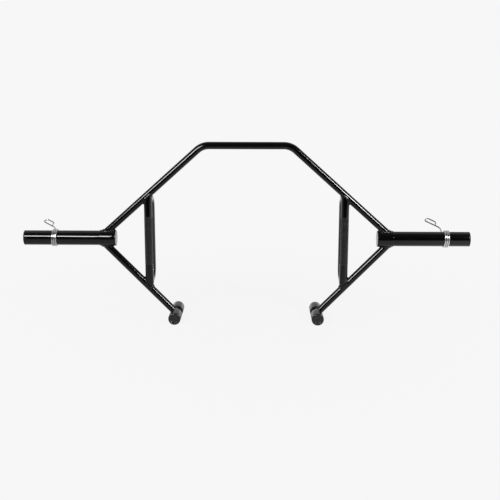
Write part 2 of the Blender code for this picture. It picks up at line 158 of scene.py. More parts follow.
# %% Meshes and materials
def skin(name, grid, finishes, ring=False, sharp=35.0, zone=None, split=None, height=None):
    """A mesh object from a grid of points. Its columns join up round the piece, its rows run along it.

    Cells of the grid are faces. With ring, the last row joins the first. Where a row is one point, it is a
    pole, and its doubles are merged. Edges that bend more than sharp, in degrees, stay sharp. zone says
    which rows of faces have the second finish, split which cells are cut from their second corner to their
    fourth, and height is kept as an attribute.
    """
    rows, columns = grid.shape[:2]
    index = np.arange(rows * columns).reshape(rows, columns)
    if ring:
        index = np.vstack([index, index[:1]])
    beside = np.roll(index, -1, axis=1)
    a, b, c, d = index[:-1], beside[:-1], beside[1:], index[1:]
    if split is None:
        faces = np.stack([a, b, c, d], axis=-1)
    else:
        lower = np.where(split[..., None], np.stack([a, b, d], -1), np.stack([a, b, c], -1))
        upper = np.where(split[..., None], np.stack([b, c, d], -1), np.stack([a, c, d], -1))
        faces = np.stack([lower, upper], axis=2)
    corners = faces.shape[-1]
    per_row = faces.size // corners // len(a)
    mesh = bpy.data.meshes.new(name)
    mesh.from_pydata(grid.reshape(-1, 3).tolist(), [], faces.reshape(-1, corners).tolist())
    for finish in finishes:
        mesh.materials.append(finish)
    if zone is not None:
        mesh.polygons.foreach_set("material_index", np.repeat(zone.astype(np.int32), per_row))
    if height is not None:
        store = mesh.attributes.new("knurl_height", "FLOAT", "POINT")
        store.data.foreach_set("value", height.astype(np.float32).ravel())
    form = bmesh.new()
    form.from_mesh(mesh)
    bmesh.ops.remove_doubles(form, verts=form.verts, dist=1e-6)
    bmesh.ops.recalc_face_normals(form, faces=form.faces)
    form.to_mesh(mesh)
    form.free()
    mesh.shade_smooth()
    mesh.set_sharp_from_angle(angle=math.radians(sharp))
    thing = bpy.data.objects.new(name, mesh)
    bpy.context.scene.collection.objects.link(thing)
    return thing


def finish_of(name):
    """A new material, with its node tree, its Principled shader and its Object coordinates."""
    made = bpy.data.materials.new(name)
    made.use_nodes = True
    tree = made.node_tree
    return made, tree, tree.nodes["Principled BSDF"], add(tree, "ShaderNodeTexCoord").outputs["Object"]


print("meshes of the CAD model", len(bpy.data.meshes))

# %% [markdown]
# ## The studio
# The bar was photographed on a white sweep, a sheet that runs from the floor up behind it. Gloss black
# paint has almost no colour of its own. What shows is what it mirrors: one long softbox on the left, a
# smaller and brighter one on the right, the white sweep below and behind, and the dark room in front.
# So the floor and the room are white for the camera, while what the paint mirrors of them fades towards
# the front. What it mirrors of the floor is painted shade: an emitted colour, darker towards the front and
# towards the left, that follows the floor's own Y and X. The floor takes a faint shadow, because a small
# share of it near the bar is plain lit paper.

# %% Floor
FLOOR_RADIUS = 30.0
# Painted shade on the floor as the paint mirrors it: darker towards the front and towards the left.
FLOOR_SHADE_FRONT_TO_BACK = [(0.0, "#101010"), (0.12, "#202020"), (0.28, "#8C8C8C"), (0.42, "#E0E0E0"), (0.6, "#FFFFFF")]
FLOOR_SHADE_LEFT_TO_RIGHT = [(0.0, "#ACACAC"), (0.35, "#B0B0B0"), (0.62, "#C4C4C4"), (0.8, "#F0F0F0"), (1.0, "#FFFFFF")]


def floor_disc(radius, rings=24, sides=96):
    """A flat disc, whose ring n has the radius R (n / rings) squared."""
    turn = np.linspace(0, 2 * np.pi, sides, endpoint=False)
    reach = radius * (np.arange(rings + 1) / rings) ** 2
    grid = np.zeros((rings + 1, sides, 3))
    grid[..., 0] = reach[:, None] * np.cos(turn)
    grid[..., 1] = reach[:, None] * np.sin(turn)
    return grid


paper, tree, shader, spot = finish_of("white_paper_sweep")
shader.inputs["Base Color"].default_value = linear("#E4E4E4")
shader.inputs["Roughness"].default_value = 0.9
shader.inputs["Specular IOR Level"].default_value = 0.0
reach = add(tree, "ShaderNodeVectorMath", {0: spot}, operation="LENGTH").outputs["Value"]
lit_share = add(tree, "ShaderNodeMapRange", {"Value": reach, "From Min": 0.3, "From Max": 1.6,
                                            "To Min": 0.05, "To Max": 0.0}).outputs["Result"]
glow = add(tree, "ShaderNodeEmission", {"Color": linear(PAPER), "Strength": 1.0})
seen_by_eye = add(tree, "ShaderNodeMixShader", {0: lit_share, 1: glow.outputs[0], 2: shader.outputs[0]})

# A Mix node for colours has its factor at input 0, the colours at 6 and 7, and its result at output 2.
across = add(tree, "ShaderNodeSeparateXYZ", {0: spot}).outputs
to_back = add(tree, "ShaderNodeMapRange", {"Value": across["Y"], "From Min": -2.0, "From Max": 0.5})
to_right = add(tree, "ShaderNodeMapRange", {"Value": across["X"], "From Min": -1.0, "From Max": 1.5})
shade_by_depth = add(tree, "ShaderNodeValToRGB", {"Fac": to_back.outputs["Result"]}, stops=FLOOR_SHADE_FRONT_TO_BACK)
shade_by_side = add(tree, "ShaderNodeValToRGB", {"Fac": to_right.outputs["Result"]}, stops=FLOOR_SHADE_LEFT_TO_RIGHT)
painted_shade_in_front = add(tree, "ShaderNodeMix", {0: 1.0, 6: shade_by_depth.outputs["Color"], 7: shade_by_side.outputs["Color"]},
               data_type="RGBA", blend_type="MULTIPLY")
behind_it = add(tree, "ShaderNodeMapRange", {"Value": across["Y"], "From Min": 0.05, "From Max": 0.4})
mirrored_paper_with_painted_shade = add(tree, "ShaderNodeMix", {0: behind_it.outputs["Result"], 6: painted_shade_in_front.outputs[2],
                                             7: linear(PAPER)}, data_type="RGBA").outputs[2]
# The paint mirrors this emitted colour, with its painted shade, instead of the lit floor.
mirrored = add(tree, "ShaderNodeEmission", {"Color": mirrored_paper_with_painted_shade, "Strength": 1.0})
ray = add(tree, "ShaderNodeLightPath").outputs
for_gloss = add(tree, "ShaderNodeMixShader", {0: ray["Is Glossy Ray"], 1: shader.outputs[0],
                                              2: mirrored.outputs[0]})
for_eye = add(tree, "ShaderNodeMixShader", {0: ray["Is Camera Ray"], 1: for_gloss.outputs[0],
                                            2: seen_by_eye.outputs[0]})
tree.links.new(for_eye.outputs[0], tree.nodes["Material Output"].inputs["Surface"])

floor = skin("floor", floor_disc(FLOOR_RADIUS), [paper])
floor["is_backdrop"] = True
print("floor faces", len(floor.data.polygons))

# %% [markdown]
# ## The room
# Above the floor, paint and chrome mirror the room, which is dark in front of the bar and pale behind it.
# The world's Generated coordinate is the direction that a ray looks in: its Z says how far up, and its Y
# how far to the back. Light that is scattered, not mirrored, gets an even soft fill instead.

# %% World
DARK_FRONT = [(0.05, "#303030"), (0.19, "#282828"), (0.6, "#242424"), (1.0, "#4A4A4A")]
PALE_BACK = [(0.1, "#F3F3F3"), (0.2, "#D9D9D9"), (0.3, "#B3B3B3"), (0.6, "#ACACAC"), (1.0, "#BCBCBC")]
world = bpy.data.worlds.new("studio")
world.use_nodes = True
bpy.context.scene.world = world
tree = world.node_tree
ray_way = add(tree, "ShaderNodeTexCoord").outputs["Generated"]
heading = add(tree, "ShaderNodeSeparateXYZ", {0: ray_way}).outputs
rise = add(tree, "ShaderNodeMapRange", {"Value": heading["Z"], "From Min": -0.1, "From Max": 0.9})
behind = add(tree, "ShaderNodeMapRange", {"Value": heading["Y"], "From Min": -0.15, "From Max": 0.35})
dark_front = add(tree, "ShaderNodeValToRGB", {"Fac": rise.outputs["Result"]}, stops=DARK_FRONT)
pale_back = add(tree, "ShaderNodeValToRGB", {"Fac": rise.outputs["Result"]}, stops=PALE_BACK)
room = add(tree, "ShaderNodeMix", {0: behind.outputs["Result"], 6: dark_front.outputs["Color"],
                                   7: pale_back.outputs["Color"]}, data_type="RGBA").outputs[2]
ray = add(tree, "ShaderNodeLightPath").outputs
mirrored_room = add(tree, "ShaderNodeBackground", {"Color": room, "Strength": 1.0})
soft_fill = add(tree, "ShaderNodeBackground", {"Color": linear("#959597"), "Strength": 1.0})
white = add(tree, "ShaderNodeBackground", {"Color": linear(PAPER), "Strength": 1.0})
unseen = add(tree, "ShaderNodeMixShader", {0: ray["Is Glossy Ray"], 1: soft_fill.outputs[0],
                                           2: mirrored_room.outputs[0]})
seen = add(tree, "ShaderNodeMixShader", {0: ray["Is Camera Ray"], 1: unseen.outputs[0], 2: white.outputs[0]})
tree.links.new(seen.outputs[0], tree.nodes["World Output"].inputs["Surface"])
print("world nodes", len(tree.nodes))

# %% [markdown]
# ## Two softboxes
# A softbox is a lamp behind a rectangle of white cloth. Gloss paint mirrors the whole rectangle, squeezed
# into a thin line along each tube, so its size and tilt set where that line runs and how wide it is.

# %% Softboxes
def softbox(name, place, tilt, size, brightness):
    """A rectangular lamp that faces straight back, tilted sideways by an angle in degrees.

    Its size is in metres. Its power is brightness x pi x area, so brightness is what a mirror would show.
    """
    lamp = bpy.data.lights.new(name, "AREA")
    lamp.shape = "RECTANGLE"
    lamp.size, lamp.size_y = size
    lamp.energy = brightness * math.pi * size[0] * size[1]
    thing = bpy.data.objects.new(name, lamp)
    turn = math.radians(tilt)
    wide, high = (math.cos(turn), 0, math.sin(turn)), (-math.sin(turn), 0, math.cos(turn))
    thing.matrix_world = Matrix.Translation(place) @ Matrix((wide, high, (0, -1, 0))).transposed().to_4x4()
    thing.visible_camera = False
    bpy.context.scene.collection.objects.link(thing)
    return thing


left_lamp = softbox("softbox_left", (-1.75, -1.90, 1.66), -15.0, (2.20, 0.50), 21.0)
softbox("softbox_right", (2.35, -1.90, 1.85), -5.0, (0.75, 0.75), 55.0)

# %% [markdown]
# ## Finish 1: gloss black powder coat
# The frame is dusted with a dry powder that is baked to a hard skin. It flows a little before it sets,
# and keeps an even, shallow waviness that painters call orange peel. So the shader is near black, with a
# sharp gloss, and a bump of two noises: waves about 5 mm long, and a finer grain. Roughness varies a
# little with a larger noise, as baked powder does. The noises read Object coordinates, in metres.

# %% Gloss black powder coat
MIDDLE = {"From Min": 0.3, "From Max": 0.7}     # most of a noise's values lie between these


def clouded(name, cloud, colours, roughness, bumps, **sockets):
    """A finish whose colour and roughness drift with one noise, and that has bumps of finer noises.

    The cloud is a noise's (size, detail), and a bump is (size, detail, depth), in millimetres. The middle of
    the cloud's values is stretched over the two colours and the two roughnesses. Each bump is laid over the
    one before it. Any other sockets of the shader have one value all over.
    """
    made, tree, shader, place = finish_of(name)
    size, detail = cloud
    drift = add(tree, "ShaderNodeTexNoise", {"Vector": place, "Scale": 1000 / size, "Detail": detail})
    drift = drift.outputs["Fac"]
    shade = add(tree, "ShaderNodeValToRGB", {"Fac": drift}, stops=list(zip(MIDDLE.values(), colours)))
    tree.links.new(shade.outputs["Color"], shader.inputs["Base Color"])
    low, high = roughness
    gloss = add(tree, "ShaderNodeMapRange", {"Value": drift, **MIDDLE, "To Min": low, "To Max": high})
    tree.links.new(gloss.outputs["Result"], shader.inputs["Roughness"])
    under = {}
    for size, detail, depth in bumps:
        fine = add(tree, "ShaderNodeTexNoise", {"Vector": place, "Scale": 1000 / size, "Detail": detail})
        bump = add(tree, "ShaderNodeBump", {"Height": fine.outputs["Fac"], "Distance": depth / 1000,
                                            "Strength": 1.0, **under})
        under = {"Normal": bump.outputs["Normal"]}
    tree.links.new(under["Normal"], shader.inputs["Normal"])
    for socket, value in sockets.items():
        shader.inputs[socket].default_value = value
    return made


PAINT = clouded("gloss_black_powder_coat", (40, 3.0), ("#040405", "#070708"), (0.07, 0.10),
                [(5.0, 1.0, 0.004), (0.8, 1.0, 0.00016)], IOR=1.5)
WELD_PAINT = clouded("powder_coat_over_weld", (40, 3.0), ("#040405", "#070708"), (0.11, 0.17),
                     [(5.0, 1.0, 0.010), (0.8, 1.0, 0.0004)], IOR=1.5)
print("paint", PAINT.name, WELD_PAINT.name)

# %% [markdown]
# ## Finish 2: knurled steel under black paint
# The low grips are rolled with a diamond knurl before they are painted. The paint rounds it off: it lies
# thick and glossy in the grooves, and thin and rubbed dull on the tips. The mesh keeps each point's height
# in the knurl as an attribute, and the shader turns that height into colour and roughness.

# %% Knurled steel
KNURLED, tree, shader, place = finish_of("knurled_steel_painted_black")
tip = add(tree, "ShaderNodeAttribute", attribute_name="knurl_height").outputs["Fac"]
grime = add(tree, "ShaderNodeTexNoise", {"Vector": place, "Scale": 1000 / 8, "Detail": 4.0}).outputs["Fac"]
dirt = add(tree, "ShaderNodeMapRange", {"Value": grime, **MIDDLE, "To Min": -0.15, "To Max": 0.15})
worn = add(tree, "ShaderNodeMath", {0: tip, 1: dirt.outputs["Result"]}, operation="ADD", use_clamp=True)
worn = worn.outputs["Value"]
shade = add(tree, "ShaderNodeValToRGB", {"Fac": worn},
            stops=[(0.0, "#0E0E10"), (0.7, "#202023"), (1.0, "#3C3C40")])
gloss = add(tree, "ShaderNodeMapRange", {"Value": worn, **MIDDLE, "To Min": 0.16, "To Max": 0.24})
tree.links.new(shade.outputs["Color"], shader.inputs["Base Color"])
tree.links.new(gloss.outputs["Result"], shader.inputs["Roughness"])
print("knurl finish", KNURLED.name)

# %% [markdown]
# ## Finishes 3 and 4: moulded rubber and plastic
# The feet are moulded rubber: dark grey, with a soft sheen along their rims, and a fine grain from the
# blasted mould. Its colour is a little chalky in places, as rubber is when it has been handled.
# The plugs in the sleeves are hard plastic, with the pebbled grain of a spark-eroded mould.

# %% Rubber and plastic
RUBBER = clouded("moulded_black_rubber", (12, 4.0), ("#1B1B1C", "#242425"), (0.19, 0.29), [(0.6, 2.0, 0.012)])
PLASTIC = clouded("moulded_black_plastic", (12, 4.0), ("#141415", "#1A1A1B"), (0.37, 0.47),
                  [(0.9, 2.0, 0.04)])
print("moulded", RUBBER.name, PLASTIC.name)

# %% [markdown]
# ## Finish 5: chromed spring wire
# The collars are hard-drawn spring steel with a thin chrome plating. Chrome is a mirror with a cool grey
# tint. Drawing leaves faint marks and small dull clouds under the plating, which break the mirror a little.

# %% Chrome
CHROME = clouded("chromed_spring_wire", (6, 4.0), ("#DCDDE0", "#ECEDEF"), (0.21, 0.29), [(0.8, 3.0, 0.003)],
                 Metallic=1.0)
print("chrome", CHROME.name)

# %% [markdown]
# ## The frame's own numbers
# The CAD model gives all of these sizes. The frame lies in one upright plane. Each tube is known by its
# centre line: where the bow's straight runs would meet, and where bow and arm reach the hub.

# %% Sizes
PLANE = -0.014334           # the frame's plane, in Y
AXIS_Z = 0.287              # the sleeves' axis above the floor
TUBE = 0.0125               # radius of bow, arms and high handles
GRIP = 0.014                # radius of the low handles
HUB, SLEEVE, SLEEVE_BORE = 0.0275, 0.025, 0.022     # radii
HUB_IN, HUB_OUT, SLEEVE_END = 0.447, 0.502, 0.762   # where hub and sleeve end, in X
PLATE, FLANGE = 0.003, 0.004                        # thickness of the hub's disc and the plug's rim
FOOT_TUBE, CAP = 0.015, 0.021                       # radii of the cross tubes and their rubber caps
HANDLE_X = 0.3355           # the handles' place in X
GAP = 0.0003                # between pieces that touch
SIDES = ((-1, "left"), (1, "right"))
ACROSS = np.array([0.0, 1.0, 0.0])                  # from front to back


def point(x, z):
    """A point of the frame's plane."""
    return np.array([x, PLANE, z])


def on_line(a, b, x):
    """The point of the line through a and b that has this x."""
    return a + (b - a) * (x - a[0]) / (b[0] - a[0])


BOW_CORNER = {s: point(s * 0.149, 0.604) for s in (-1, 1)}
BOW_ON_HUB = {s: point(s * 0.4725, 0.3145) for s in (-1, 1)}
ARM_ON_HUB = {s: point(s * 0.4775, 0.2595) for s in (-1, 1)}
FOOT = {s: point(s * 0.2443, CAP) for s in (-1, 1)}
HANDLE_TOP = {s: on_line(BOW_CORNER[s], BOW_ON_HUB[s], s * HANDLE_X) for s in (-1, 1)}
HANDLE_FOOT = {s: on_line(FOOT[s], ARM_ON_HUB[s], s * HANDLE_X) for s in (-1, 1)}
print("handle from", HANDLE_TOP[1].round(4), "to", HANDLE_FOOT[1].round(4))

# %% [markdown]
# ## Three ways to make a surface
# Nearly everything here is one of three shapes. A bent tube is a circle carried along a path. A hub or a
# cap is a profile turned round an axis. A weld is a rippled band that follows the line where two round
# bars cross. Each is a function of two parameters, worked out for a whole grid of points at once.
# First come the paths. A tube's path is a line of straight runs, whose corners are rounded to arcs.

# %% Paths
def rounded_path(corners, radii, step):
    """A polyline whose inner corners are arcs. An arc starts radius x tan(bend / 2) before its corner.

    Its points are start + r sin(a) along the way in + r (1 - cos(a)) towards the inside, a step in degrees.
    """
    corners = np.asarray(corners, float)
    parts = [corners[:1]]
    for before, corner, after, radius in zip(corners, corners[1:], corners[2:], radii):
        into, out = unit(corner - before), unit(after - corner)
        bend = math.acos(np.clip(into @ out, -1, 1))
        side = unit(out - (out @ into) * into)
        angle = np.linspace(0, bend, max(2, math.ceil(math.degrees(bend) / step)) + 1)[:, None]
        start = corner - into * radius * math.tan(bend / 2)
        parts.append(start + radius * np.sin(angle) * into + radius * (1 - np.cos(angle)) * side)
    return np.concatenate([*parts, corners[-1:]])


def directions(path, spoke):
    """Along a path, the way ahead and two directions across it.

    The first is the spoke without its part along the path, the second is square to both.
    """
    step = unit(np.diff(path, axis=0))
    ahead = unit(np.concatenate([step[:1], step[:-1] + step[1:], step[-1:]]))
    spoke = np.broadcast_to(spoke, path.shape)
    first = unit(spoke - np.sum(spoke * ahead, axis=1, keepdims=True) * ahead)
    return ahead, first, np.cross(ahead, first)


print("a quarter bend has", len(rounded_path([[0, 0], [1, 0], [1, 1]], [0.1], step=6.0)), "points")

# %% [markdown]
# ## Coped ends
# Where a tube meets another bar, its end is coped, that is, cut to fit the other's roundness. Here each
# point of the end slides along the tube until it meets the bar, which is a quadratic equation. The bar that
# is met is called a seat. A leg that sits in a corner has two seats, and stops at the first that it meets.

# %% Seats
def off_axis(points, seat):
    """The part of each point's place that is square to a bar's axis. A seat is (place, axis, radius)."""
    place, axis, _ = seat
    off = points - place
    return off - (off @ axis)[..., None] * axis


TRIM = 0.004                # a tube that is wider than its seat ends this far short of the seat's middle


def slide(points, way, seat):
    """How far points go along way until they are the bar's radius from its axis.

    That is s, where |p + s w| squared = r squared. A point that passes beside the bar stops at the trim.
    """
    p = off_axis(points, seat)
    w = way - (way @ seat[1]) * seat[1]
    a, b, c = w @ w, p @ w, np.sum(p * p, axis=-1) - seat[2] ** 2
    return (-b - np.sqrt(np.maximum(b * b - a * c, a * TRIM ** 2))) / a


def on_second(points, way, seats):
    """Which points meet the second of two seats before the first."""
    return slide(points, way, seats[-1]) < slide(points, way, seats[0])


def slide_onto(points, way, seats):
    """Points slid along way onto the first of the seats that they meet."""
    return points + np.minimum(slide(points, way, seats[0]), slide(points, way, seats[-1]))[..., None] * way


def bar(a, b, radius, sunk=GAP):
    """The seat that a round bar from a through b gives, sunk a little so that the coped end is inside it."""
    return a, unit(b - a), radius - sunk


print("a cope's seat is sunk by", GAP * 1000, "mm")

# %% [markdown]
# ## Tubes and turned pieces
# A tube is carried along its path, and a turned piece goes round its axis. Every piece then says what it
# rides on and which CAD nodes it stands for.

# %% Tubes and turned pieces
CLOSING = np.array([0.75, 0.5, 0.25, 0.0])[:, None, None]   # sizes of the rings that close an end


def pipe(path, radius, spoke, start_seat=None, end_seat=None, sides=64):
    """A circle carried along a path: P = path + radius (cos(turn) first + sin(turn) second).

    The radius is one number, or one for each row, or one for each point. Smaller and smaller rings close
    each end. At a seat they all lie on the bars that it is welded to.
    """
    ahead, first, second = directions(path, spoke)
    turn = np.linspace(0, 2 * np.pi, sides, endpoint=False)[:, None]
    spokes = np.cos(turn) * first[:, None] + np.sin(turn) * second[:, None]
    radius = np.asarray(radius, float)
    radius = radius[..., None] if radius.ndim == 2 else radius.reshape(-1, 1, 1)
    rows = path[:, None] + radius * spokes
    start = path[0] + (rows[0] - path[0]) * CLOSING[::-1]
    end = path[-1] + (rows[-1] - path[-1]) * CLOSING
    if start_seat:
        start, rows[0] = slide_onto(start, -ahead[0], start_seat), slide_onto(rows[0], -ahead[0], start_seat)
    if end_seat:
        end, rows[-1] = slide_onto(end, ahead[-1], end_seat), slide_onto(rows[-1], ahead[-1], end_seat)
    return np.concatenate([start, rows, end])


def turned(profile, place, axis, sides=96):
    """A profile turned round an axis: P = place + distance x axis + radius (cos(turn) u + sin(turn) v).

    The profile's pairs are (radius, distance along the axis).
    """
    axis = np.asarray(axis, float)
    u = unit(np.cross(axis, [0, 0, 1]))
    v = np.cross(axis, u)
    turn = np.linspace(0, 2 * np.pi, sides, endpoint=False)[:, None]
    out = np.cos(turn) * u + np.sin(turn) * v
    profile = np.asarray(profile, float)
    return place + profile[:, 1, None, None] * axis + profile[:, 0, None, None] * out


pieces = []


def done(thing, body, slot, *nodes):
    """Says what the piece rides on and the CAD nodes that it stands for. The slot is not used."""
    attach(thing, body)
    if nodes:
        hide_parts(*nodes)
    pieces.append(thing.name)


print("a closed end has", len(CLOSING), "rings")

# %% [markdown]
# ## The bow and the rear arms
# The bow is one length of 25 mm steel tube, bent cold in two places on a 60 mm former. Each end is coped
# onto its hub. The rear arms are straight lengths of the same tube, between the hub and the foot.

# %% Bow and arms
BOW_BEND = 0.060


def bars(s, sunk=GAP):
    """The round bars of one side that others are welded to, as seats."""
    return {
        "hub": bar(point(s * HUB_IN, AXIS_Z), point(s * HUB_OUT, AXIS_Z), HUB, sunk),
        "bow": bar(BOW_CORNER[s], BOW_ON_HUB[s], TUBE, sunk),
        "arm": bar(ARM_ON_HUB[s], FOOT[s], TUBE, sunk),
        "foot": bar(FOOT[s], FOOT[s] + ACROSS, FOOT_TUBE, sunk),
        "grip": bar(HANDLE_TOP[s], HANDLE_FOOT[s], GRIP, sunk),
    }


SEAT = {s: bars(s) for s in (-1, 1)}
corners = [BOW_ON_HUB[-1], BOW_CORNER[-1], BOW_CORNER[1], BOW_ON_HUB[1]]
bow_path = rounded_path(corners, [BOW_BEND] * 2, step=4.0)
bow = skin("front_bow_tube", pipe(bow_path, TUBE, ACROSS, [SEAT[-1]["hub"]], [SEAT[1]["hub"]]), [PAINT])
done(bow, "bar_frame", "gloss_black_paint", "front_bow")
for s, side in SIDES:
    grid = pipe(np.array([ARM_ON_HUB[s], FOOT[s]]), TUBE, ACROSS, [SEAT[s]["hub"]], [SEAT[s]["foot"]])
    done(skin(side + "_arm_tube", grid, [PAINT]), "bar_frame", "gloss_black_paint", side + "_rear_arm")
print("bow rows", len(bow_path))

# %% [markdown]
# ## Hubs, sleeves and their plugs
# All of these are lathe work. The hub is a short ring with broken edges, closed on its inner end by a
# thin disc, with a fine seam between the two. The sleeve is a plain tube that fits inside the ring. Its
# outer end is closed by a plastic plug, with a dished face and a small step where it meets the tube.

# %% Hubs, sleeves and plugs
EDGE_STEP = 15.0                        # degrees from row to row round a turned edge
START = PLATE + GAP                     # ring and sleeve begin just clear of the disc
RING_END = HUB_OUT - HUB_IN
TUBE_END = SLEEVE_END - FLANGE - GAP - HUB_IN
STUB, STUB_END = SLEEVE_BORE - GAP, 0.022

# A profile's corners are (radius, distance from the piece's end), and each corner between has a rounding.
RING = rounded_path([(SLEEVE + GAP, START), (HUB, START), (HUB, RING_END), (SLEEVE + GAP, RING_END)],
                    [0.0006, 0.0012], EDGE_STEP)
DISC = rounded_path([(0, 0), (HUB, 0), (HUB, PLATE), (0, PLATE)], [0.0010, 0.0006], EDGE_STEP)
SLEEVE_TUBE = rounded_path([(SLEEVE_BORE, START), (SLEEVE, START), (SLEEVE, TUBE_END),
                            (SLEEVE_BORE, TUBE_END)], [0.0005, 0.0005], EDGE_STEP)
PLUG = rounded_path([(0, 0.0008), (0.0160, 0.0008), (0.0172, 0), (SLEEVE, 0), (SLEEVE, FLANGE),
                     (STUB, FLANGE), (STUB, STUB_END), (0, STUB_END)],
                    [0.0006, 0.0006, 0.0016, 0.0003, 0.0002, 0.0010], EDGE_STEP)
for s, side in SIDES:
    inner, outwards = point(s * HUB_IN, AXIS_Z), np.array([s, 0.0, 0.0])
    for name, node, profile, ring in (("_hub_ring", "_hub", RING, True),
                                      ("_hub_disc", "_hub_plate", DISC, False),
                                      ("_sleeve_tube", "_sleeve", SLEEVE_TUBE, True)):
        thing = skin(side + name, turned(profile, inner, outwards), [PAINT], ring=ring)
        done(thing, "bar_frame", "gloss_black_paint", side + node)
    plug = skin(side + "_sleeve_plug", turned(PLUG, point(s * SLEEVE_END, AXIS_Z), -outwards), [PLASTIC])
    done(plug, "bar_frame", "black_plastic", side + "_sleeve_cap")
print("pieces so far", len(pieces))

# %% [markdown]
# ## Feet
# Each foot is a short 30 mm cross tube with a long rubber boot pushed onto each end. Only a short ring of
# painted tube shows between the two, where the arm is welded on. The boot's face has a rounded rim, a
# shallow dish and a dimple in its middle, left by the mould.

# %% Foot tubes and caps
CAP_LENGTH, CAP_FLOOR, CAP_BORE = 0.064, 0.006, FOOT_TUBE + GAP
FOOT_HALF = 0.081                       # half a foot's length over its caps
SIDEWAYS = np.array([1.0, 0.0, 0.0])
BOOT = rounded_path([(0, 0.0025), (0.0025, 0.0022), (0.0034, 0.0012), (0.0120, 0.0012), (0.0134, 0),
                     (CAP, 0), (CAP, CAP_LENGTH), (CAP_BORE, CAP_LENGTH), (CAP_BORE, CAP_FLOOR),
                     (0, CAP_FLOOR)],
                    [0.0008, 0.0005, 0.0008, 0.0012, 0.0050, 0.0015, 0.0003, 0.0003], EDGE_STEP)
for s, side in SIDES:
    half = (FOOT_HALF - CAP_FLOOR - GAP) * ACROSS
    grid = pipe(np.array([FOOT[s] - half, FOOT[s] + half]), FOOT_TUBE, SIDEWAYS)
    tube = skin(side + "_foot_cross_tube", grid, [PAINT])
    done(tube, "bar_frame", "gloss_black_paint", side + "_foot_tube")
    for end, way in (("front", 1), ("back", -1)):
        grid = turned(BOOT, FOOT[s] - way * FOOT_HALF * ACROSS, (0, way, 0))
        cap = skin(side + "_" + end + "_rubber_cap", grid, [RUBBER])
        done(cap, "bar_frame", "black_rubber", side + "_" + end + "_foot_cap")
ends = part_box("left_front_foot_cap")[0].y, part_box("left_back_foot_cap")[1].y
print("caps reach from and to", [round(y, 4) for y in ends])

# %% [markdown]
# ## Knurled handles
# Knurling rolls two sets of slanted grooves into the steel, which leaves rows of small diamonds. With u
# counted in diamonds round the bar and v along it, the grooves run where u + v and u - v are whole
# numbers. The height of a point is its distance to the nearest groove, cut off flat just below the tip.
# The grid has four cells to a diamond each way, split along the grooves to keep them crisp. Only the part
# where hands go is knurled. It fades out over the length of one diamond, and the rest is painted.

# %% Knurl
DIAMONDS, DIAMOND_RISE, CELLS = 48, 0.0026, 4   # round the bar, length of one, and grid cells to one
KNURL_DEPTH, KNURL_PROUD, KNURL_SLOPE = 0.00022, 0.00006, 2.6


def knurl(lengths, end):
    """Radius and height for rows at these lengths along a grip whose knurl runs from 0 to end.

    Height is slope x the distance to the nearest groove, at most 1. Radius drops by depth x (1 - height).
    """
    u = np.arange(CELLS * DIAMONDS) / CELLS
    v = (lengths / DIAMOND_RISE)[:, None]
    nearest = np.minimum(np.abs(u + v - np.round(u + v)), np.abs(u - v - np.round(u - v)))
    height = np.minimum(KNURL_SLOPE * nearest, 1)
    fade = np.clip(np.minimum(lengths, end - lengths) / DIAMOND_RISE, 0, 1)[:, None]
    return GRIP + fade * (KNURL_PROUD - KNURL_DEPTH * (1 - height)), height * fade + (1 - fade)


def grip(name, top, start, end, foot, seats):
    """A low handle from top to foot, which is knurled from start to end and has its rows there.

    Top and foot lie outside the knurl, so they count as a metre before its start and after its end.
    """
    length = np.linalg.norm(end - start)
    count = int(round(length / DIAMOND_RISE * CELLS))
    path = np.concatenate([[top], start + (end - start) * np.linspace(0, 1, count + 1)[:, None], [foot]])
    runs = np.concatenate([[-1.0], np.linspace(0, length, count + 1), [length + 1]])
    radius, height = knurl(runs, length)
    grid = pipe(path, radius, ACROSS, *seats, sides=CELLS * DIAMONDS)
    first = len(CLOSING) + 1
    cell_row, column = np.arange(len(grid) - 1)[:, None] - first, np.arange(CELLS * DIAMONDS)
    knurled = (cell_row[:, 0] >= 0) & (cell_row[:, 0] < count)
    split = (cell_row + column + 1) % CELLS == 0
    closed = np.ones((len(CLOSING), CELLS * DIAMONDS))
    height = np.concatenate([closed, height, closed])
    return skin(name, grid, [PAINT, KNURLED], sharp=20.0, zone=knurled, split=split, height=height)


print("diamond", round(2000 * np.pi * GRIP / DIAMONDS, 2), "mm round,", DIAMOND_RISE * 1000, "mm along")

# %% [markdown]
# ## Low and high handles
# The low handle stands in the frame's plane. The high handle is bent to a U from plain frame tube. Each of
# its legs sits in the corner between two bars, and is coped onto both: the back of the low handle, and the
# edge of the bow or the arm.

# %% Low and high handles
KNURL_TOP, KNURL_FOOT = 0.361, 0.196
HIGH_BACK, HIGH_BEND, LEG_INSET = 0.084, 0.0375, 0.018
LEG_TOP = {s: HANDLE_TOP[s] - [0, 0, LEG_INSET] for s in (-1, 1)}
LEG_FOOT = {s: HANDLE_FOOT[s] + [0, 0, LEG_INSET] for s in (-1, 1)}
BACK = HIGH_BACK * ACROSS
for s, side in SIDES:
    x, seat = s * HANDLE_X, SEAT[s]
    low = grip(side + "_low_grip", HANDLE_TOP[s], point(x, KNURL_TOP), point(x, KNURL_FOOT), HANDLE_FOOT[s],
               ([seat["bow"]], [seat["arm"]]))
    done(low, "bar_frame", "knurled_black_steel", side + "_low_handle")
    corners = [LEG_TOP[s], LEG_TOP[s] + BACK, LEG_FOOT[s] + BACK, LEG_FOOT[s]]
    bent = rounded_path(corners, [HIGH_BEND] * 2, step=3.0)
    grid = pipe(bent, TUBE, SIDEWAYS, [seat["grip"], seat["bow"]], [seat["grip"], seat["arm"]])
    done(skin(side + "_high_grip", grid, [PAINT]), "bar_frame", "gloss_black_paint", side + "_high_handle")
print("legs at", [round(leg[1][2], 4) for leg in (LEG_TOP, LEG_FOOT)], "faces", len(low.data.polygons))

# %% [markdown]
# ## Welds
# The frame is welded by hand. A welder lays one small pool of metal over the last, so a bead looks like a
# row of coins pushed over. It fills the corner between the two bars with its toes on both. Here the root
# line is where the tube's surface meets the bar's, and it is walked in even steps, eight to a ripple. The
# ripples are a little longer than a neat welder's, so that they show.

